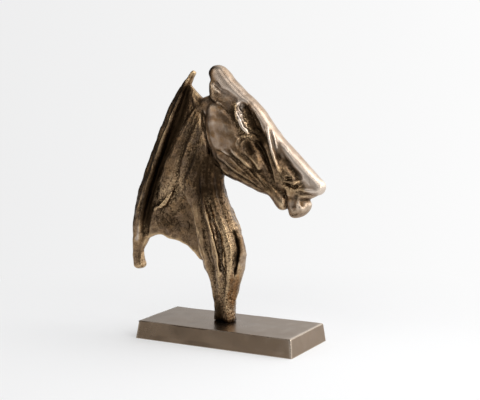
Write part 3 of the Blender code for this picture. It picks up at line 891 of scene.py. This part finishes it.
# %% How much of both noises each point gets
FOOT_HEIGHT = 10.0
LEAST_LUMPINESS = 0.25
LUMPINESS_BY_ROUGHNESS = 1.5

off_foot = np.clip((points[:, 2] - points[:, 2].min()) / FOOT_HEIGHT, 0.0, 1.0)
lumpiness = np.clip(LEAST_LUMPINESS + LUMPINESS_BY_ROUGHNESS * roughness, LEAST_LUMPINESS, 1.0)
write_values(head.data, "roughness", roughness)
write_values(head.data, "lumpiness", off_foot * lumpiness)
print("lumpiness mean", (off_foot * lumpiness).mean().round(2))

# %% A tree that grains a surface
GRAIN_DETAIL = 1.0


def grain_tree():
    """Moves each point along its normal by a broad noise and a fine one."""
    made = bpy.data.node_groups.new("cast_grain", "GeometryNodeTree")
    sockets = made.interface
    sockets.new_socket("Skin", in_out="INPUT", socket_type="NodeSocketGeometry")
    for name in ("Lump size", "Lump depth", "Grain size", "Grain depth", "Seed"):
        sockets.new_socket(name, in_out="INPUT", socket_type="NodeSocketFloat")
    sockets.new_socket("Finish", in_out="INPUT", socket_type="NodeSocketMaterial")
    sockets.new_socket("Skin", in_out="OUTPUT", socket_type="NodeSocketGeometry")
    given = made.nodes.new("NodeGroupInput").outputs
    place = made.nodes.new("GeometryNodeInputPosition").outputs[0]
    outward = made.nodes.new("GeometryNodeInputNormal").outputs[0]
    heights = []
    for size, depth, name in (
        ("Lump size", "Lump depth", "lumpiness"),
        ("Grain size", "Grain depth", "roughness"),
    ):
        kept = add_node(made, "GeometryNodeInputNamedAttribute", {"Name": name}).outputs[0]
        scale = calculate(made, "DIVIDE", 1.0, given[size])
        waves = add_node(
            made,
            "ShaderNodeTexNoise",
            {"Vector": place, "W": given["Seed"], "Scale": scale, "Detail": GRAIN_DETAIL},
            noise_dimensions="4D",
        )
        centred = calculate(made, "SUBTRACT", waves.outputs[0], 0.5)
        heights.append(product(made, centred, given[depth], kept))
    height = calculate(made, "ADD", *heights)
    move = add_node(made, "ShaderNodeVectorMath", {0: outward, "Scale": height}, operation="SCALE")
    skin = given["Skin"]
    for kind, more in (
        ("GeometryNodeSetPosition", {"Offset": move.outputs[0]}),
        ("GeometryNodeRealizeInstances", {}),
        ("GeometryNodeSetMaterial", {"Material": given["Finish"]}),
    ):
        skin = add_node(made, kind, {"Geometry": skin} | more).outputs[0]
    add_node(made, "NodeGroupOutput", {"Skin": skin})
    return made


cast_grain = grain_tree()
print("tree inputs:", [s.name for s in cast_grain.interface.items_tree if s.in_out == "INPUT"])

# %% Using the tree
def grain(obj, finish, **sizes):
    """Grains the object's skin with the tree and turns the result into plain mesh.

    The tree's sizes are in metres, as the mesh is.
    """
    modifier = obj.modifiers.new("grain", "NODES")
    modifier.node_group = cast_grain
    wanted = {"Finish": finish} | {name.replace("_", " "): value for name, value in sizes.items()}
    for socket in cast_grain.interface.items_tree:
        if socket.in_out == "INPUT" and socket.name in wanted:
            modifier[socket.identifier] = wanted[socket.name]
    settle(obj)


head_bronze = bpy.data.materials.new("head_bronze_patina")
grain(
    head,
    head_bronze,
    Lump_size=0.02,
    Lump_depth=0.004,
    Grain_size=0.0036,
    Grain_depth=0.0013,
    Seed=4.0,
)
head.data.shade_smooth()
print("grained faces:", len(head.data.polygons))

# %% [markdown]
# ## Hollows and worn edges
#
# An antique finish is a dark wash over the whole casting that is then wiped and buffed: it stays in
# the hollows and leaves the edges. Both are found by comparing the skin with a smoothed copy of
# itself. Where the skin stands proud of the copy it gets worn, and where it lies below it stays
# dark. A short smoothing finds thin lines, a long one finds broad hollows.

# %% Proud and sunken places
FINE_ROUNDS = 6
BROAD_ROUNDS = 70
FINE_SCALE = 0.45
BROAD_SCALE = 2.4


def proudness(mesh, rounds, scale):
    """How far each point stands out of the smoothed skin, as a share of the scale."""
    rows = read_points(mesh)
    normals = read_points(mesh, "normal")
    gap = np.einsum("ij,ij->i", rows - smoothed(rows, neighbours(mesh), rounds), normals)
    return np.clip(gap / scale, -1.0, 1.0)


fine = proudness(head.data, FINE_ROUNDS, FINE_SCALE)
broad = proudness(head.data, BROAD_ROUNDS, BROAD_SCALE)
print("fine mean", np.abs(fine).mean().round(3), "broad mean", np.abs(broad).mean().round(3))

# %% Worn and hollow, one number each
USUAL_BUFFING = 0.75
BUFFING_BY_TONE = 0.7
BUFFING_LIMITS = (0.15, 1.1)
WORN_FINE = 0.9
WORN_BROAD = 0.35
HOLLOW_FINE = 0.45
HOLLOW_BROAD = 0.6

# The tone includes painted shade and painted reflections, so these also weaken or strengthen the
# buffing of the edges.
buffing = np.clip(USUAL_BUFFING + BUFFING_BY_TONE * tone, *BUFFING_LIMITS)
worn = buffing * np.clip(WORN_FINE * fine + WORN_BROAD * broad, 0.0, 1.0)
hollow = np.clip(-HOLLOW_FINE * fine - HOLLOW_BROAD * broad, 0.0, 1.0)
write_values(head.data, "worn", worn)
write_values(head.data, "hollow", hollow)
write_values(head.data, "tone", tone)
print("worn mean", worn.mean().round(3), "hollow mean", hollow.mean().round(3))

# %% [markdown]
# ## No more faces than needed
#
# The even mesh spends as many faces on the smooth nose as on the cut eye hollow. Decimate takes
# faces away where the skin is flattest and leaves them where it is creased. The values kept with
# the points are blended as points merge, so the finish stays in its place.

# %% Thin out the flat places
MOST_TRIANGLES = 196000


def thin_out(obj, most):
    """Merges points in the flattest places until the object has at most this many triangles."""
    triangles = sum(len(face.vertices) - 2 for face in obj.data.polygons)
    modifier = obj.modifiers.new("thin", "DECIMATE")
    modifier.ratio = min(1.0, most / triangles)
    settle(obj)
    return triangles, sum(len(face.vertices) - 2 for face in obj.data.polygons)


print("triangles before and after:", *thin_out(head, MOST_TRIANGLES))

# %% [markdown]
# ## The bronze finish
#
# One shader serves both pieces. It starts from a warm metal of two browns, darkens it where the
# wash stayed and where shade is painted, and lets paler metal through where the surface was buffed
# and where reflections are painted. Where the painted shade is deepest, the colour goes towards
# black. Broad blotches make the wiping uneven, because no hand wipes evenly. On rough metal the
# wash also stays in fine flecks, and pale specks on the tips of the grain are a painted glint. What
# was buffed is golden on rough metal and pale on smooth.
#
# The shader is built from shares that run from 0 to 1. Spans turn noises and the numbers kept with
# the points into such shares, and weights say how much each of them counts in a sum.

# %% Noises, spans and weights
# Each noise has its scale, its detail and its distortion, which draws the blots out into swirls.
NOISES = {
    "blotch": (38.0, 4.0, 1.2),
    "speck": (420.0, 3.0, 0.0),
    "fleck": (260.0, 2.0, 0.6),
    "hue": (42.0, 3.0, 1.0),
}
KEPT_NUMBERS = ("roughness", "tone", "worn", "hollow")
# Each span has the value that it follows and the two ends between which it runs from 0 to 1.
SPANS = {
    "blotched": ("blotch", 0.2, 0.8),
    "flecked": ("fleck", 0.48, 0.62),
    "tipped": ("speck", 0.48, 0.66),
    "browner": ("hue", 0.25, 0.75),
    "holds flecks": ("roughness", 0.1, 0.9),
    "has tips": ("roughness", 0.2, 0.9),
    "grained": ("roughness", 0.1, 0.5),
    "coarse": ("roughness", 0.0, 1.2),
    "bumpy": ("roughness", 0.1, 1.0),
    "not dark": ("tone", -1.2, 0.0),
    "painted_black_shade": ("tone", -1.3, -2.3),
    "not pale": ("tone", 0.8, 0.3),
    "pale": ("tone", 0.0, 0.8),
}
# The tone is one of the weights: its painted shade darkens the colour together with the wash, and
# its painted reflections lighten it together with the buffing.
WIPING = {"blotched": 1.0, "speck": 0.5}
WASH = {"hollow": 1.5, "tone": -0.55, "uneven": 0.55, "flecks": 0.8}
BUFF = {"worn": 1.4, "tone": 0.45, "uneven": -0.35}
BLUR = {"wash_and_painted_shade": 0.12, "buffed_and_painted_light": -0.06, "speck": 0.08, "coarse": -0.15, "pale": 0.11}
MEAN_WIPING = 0.75
PAINTED_GLINT = 0.65
DEEPEST_PAINTED_SHADE = 0.75
BLACK = (0.0, 0.0, 0.0, 1.0)
BUMP_STRENGTH = 0.6
BUMP_HEIGHT = 0.9


def first_shares(tree):
    """The noises, the numbers kept with the mesh's points, and the spans that follow them."""
    place = add_node(tree, "ShaderNodeTexCoord").outputs["Object"]
    shares = {}
    for name, (scale, detail, distortion) in NOISES.items():
        inputs = {"Vector": place, "Scale": scale, "Detail": detail, "Distortion": distortion}
        shares[name] = add_node(tree, "ShaderNodeTexNoise", inputs).outputs[0]
    for name in KEPT_NUMBERS:
        shares[name] = add_node(tree, "ShaderNodeAttribute", attribute_name=name).outputs["Fac"]
    for name, (followed, low, high) in SPANS.items():
        shares[name] = ramp(tree, shares[followed], low, high)
    return shares


print("the shader starts from", len(NOISES), "noises and", len(SPANS), "spans")

# %% A patinated metal
def patina(finish, brown, dark, bright, wash, buff, gloss, mottle):
    """Fills the material with a metal of two browns, a dark wash with painted shade, bright buffed
    edges with painted reflections, and a painted glint.
    """
    tree = empty_tree(finish)
    shares = first_shares(tree)

    def added(start, weights):
        """The start and the named shares, each times its weight, added up."""
        return weighted_sum(tree, start, *((shares[name], w) for name, w in weights.items()))

    def multiplied(*names):
        """The named shares, multiplied."""
        return product(tree, *(shares[name] for name in names))

    shares["uneven"] = product(tree, added(-MEAN_WIPING, WIPING), mottle)
    shares["flecks"] = multiplied("flecked", "holds flecks")
    shares["wash_and_painted_shade"] = ramp(tree, added(wash, WASH), 0.0, 1.0)
    shares["buffed_and_painted_light"] = ramp(tree, added(buff, BUFF), 0.0, 1.0)
    # A painted glint: specks of the bright colour on the tips of the grain stand in for sparkling
    # highlights, and they fade where the tone is dark. The buffing and this painted glint together
    # decide how much of the bright colour shows.
    painted_glint = product(tree, multiplied("tipped", "has tips", "not dark"), PAINTED_GLINT)
    paler_and_painted_light = calculate(tree, "MAXIMUM", shares["buffed_and_painted_light"], painted_glint)
    colour = blend_colours(tree, shares["browner"], *brown)
    colour = blend_colours(tree, shares["wash_and_painted_shade"], colour, dark)
    # Painted shade: where the tone falls below -1.3, as in the slot and under the cheek, the colour
    # goes towards black.
    colour = blend_colours(tree, product(tree, shares["painted_black_shade"], DEEPEST_PAINTED_SHADE), colour, BLACK)
    shown = blend_colours(tree, multiplied("grained", "not pale"), *bright)
    colour = blend_colours(tree, paler_and_painted_light, colour, shown)
    strength = product(tree, shares["bumpy"], BUMP_STRENGTH)
    inputs = {"Height": shares["speck"], "Strength": strength, "Distance": BUMP_HEIGHT * MM}
    bump = add_node(tree, "ShaderNodeBump", inputs).outputs[0]
    blur = added(gloss, BLUR)
    inputs = {"Base Color": colour, "Roughness": blur, "Metallic": 1.0, "Normal": bump}
    shader = add_node(tree, "ShaderNodeBsdfPrincipled", inputs)
    add_node(tree, "ShaderNodeOutputMaterial", {"Surface": shader.outputs[0]})


print("weights of the wash:", WASH, "and of the buffing:", BUFF)

# %% The head's finish
patina(
    head_bronze,
    brown=((0.3, 0.175, 0.08, 1.0), (0.19, 0.135, 0.1, 1.0)),
    dark=(0.034, 0.02, 0.01, 1.0),
    bright=((0.64, 0.545, 0.46, 1.0), (0.55, 0.39, 0.225, 1.0)),
    wash=0.2,
    buff=-0.1,
    gloss=0.35,
    mottle=1.0,
)
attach(head, "root")
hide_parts("horse_head")
print("head finished:", head.name)

# %% [markdown]
# ## The plinth
#
# The plinth is a low block with leaning sides. It was cast too, then ground nearly flat and
# brushed, so its faces bow by a fraction of a millimetre and its edges wander. It is modelled as a
# block with many faces, so that the same tree can bend it gently.

# %% A finely divided block
plinth_low, plinth_high = (np.array(c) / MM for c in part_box("plinth"))
PLINTH_DRAFT = 4.0
PLINTH_EDGE = 2.0
PLINTH_EDGE_STEPS = 4
PLINTH_CUTS = 59
LEAST_CORNER = math.radians(45)
ABOVE_GROUND = 0.1

block = bmesh.new()
bmesh.ops.create_cube(block, size=1.0)
bmesh.ops.subdivide_edges(block, edges=block.edges, cuts=PLINTH_CUTS, use_grid_fill=True)
for v in block.verts:
    share = v.co.z + 0.5
    half = (plinth_high[:2] - plinth_low[:2]) / 2 - PLINTH_DRAFT * share
    v.co.x *= 2 * half[0] * MM
    v.co.y *= 2 * half[1] * MM
    v.co.z = share * plinth_high[2] * MM
corners = [e for e in block.edges if e.calc_face_angle() > LEAST_CORNER]
raised_corners = [e for e in corners if max(v.co.z for v in e.verts) > ABOVE_GROUND * MM]
bmesh.ops.bevel(
    block,
    geom=raised_corners,
    offset=PLINTH_EDGE * MM,
    offset_type="OFFSET",
    segments=PLINTH_EDGE_STEPS,
    profile=0.5,
    affect="EDGES",
)
plinth = object_from(block, "plinth_casting")
print("plinth faces:", len(plinth.data.polygons))

# %% Bowed faces and wandering edges
PLINTH_FOOT_HEIGHT = 8.0
PLINTH_ROUGHNESS = 0.08

points = read_points(plinth.data)
above = np.clip(points[:, 2] / PLINTH_FOOT_HEIGHT, 0.0, 1.0)
write_values(plinth.data, "roughness", PLINTH_ROUGHNESS * above)
write_values(plinth.data, "lumpiness", above)
plinth_bronze = bpy.data.materials.new("plinth_bronze_patina")
grain(
    plinth,
    plinth_bronze,
    Lump_size=0.06,
    Lump_depth=0.0024,
    Grain_size=0.012,
    Grain_depth=0.0008,
    Seed=9.0,
)
plinth.data.shade_smooth()
print("plinth height now", round(read_points(plinth.data)[:, 2].max(), 2), "mm")

# %% Where the plinth is worn and where it is dark
# The top is darker round the stem, a painted shade round its foot, and the plinth is a little paler
# towards the right and darker towards the left: a painted reflection of the room, which is brighter
# on the right.
PLINTH_FINE_SCALE = 0.35
PLINTH_TONE = 0.25
PLINTH_PAINTED_REFLECTION_SLOPE = 0.0015
STEM_PLACE = (4.0, -6.0)
STEM_SHADE_REACH = (52.0, 30.0)
STEM_SHADE = 0.5

points = read_points(plinth.data)
fine = proudness(plinth.data, FINE_ROUNDS, PLINTH_FINE_SCALE)
from_stem = np.linalg.norm((points[:, :2] - STEM_PLACE) / STEM_SHADE_REACH, axis=1)
near_stem = np.exp(-(from_stem**2))
plinth_tone_and_painted_light = PLINTH_TONE + PLINTH_PAINTED_REFLECTION_SLOPE * points[:, 0] - STEM_SHADE * near_stem
write_values(plinth.data, "worn", np.clip(fine, 0.0, 1.0))
write_values(plinth.data, "hollow", np.clip(-fine, 0.0, 1.0))
write_values(plinth.data, "tone", plinth_tone_and_painted_light)
print("plinth tone from", plinth_tone_and_painted_light.min().round(2), "to", plinth_tone_and_painted_light.max().round(2))

# %% The plinth's finish
patina(
    plinth_bronze,
    brown=((0.242, 0.173, 0.117, 1.0), (0.232, 0.171, 0.12, 1.0)),
    dark=(0.11, 0.08, 0.055, 1.0),
    bright=((0.5, 0.42, 0.34, 1.0), (0.5, 0.42, 0.34, 1.0)),
    wash=0.05,
    buff=-0.2,
    gloss=0.24,
    mottle=0.35,
)
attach(plinth, "root")
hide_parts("plinth")
print("plinth finished:", plinth.name)
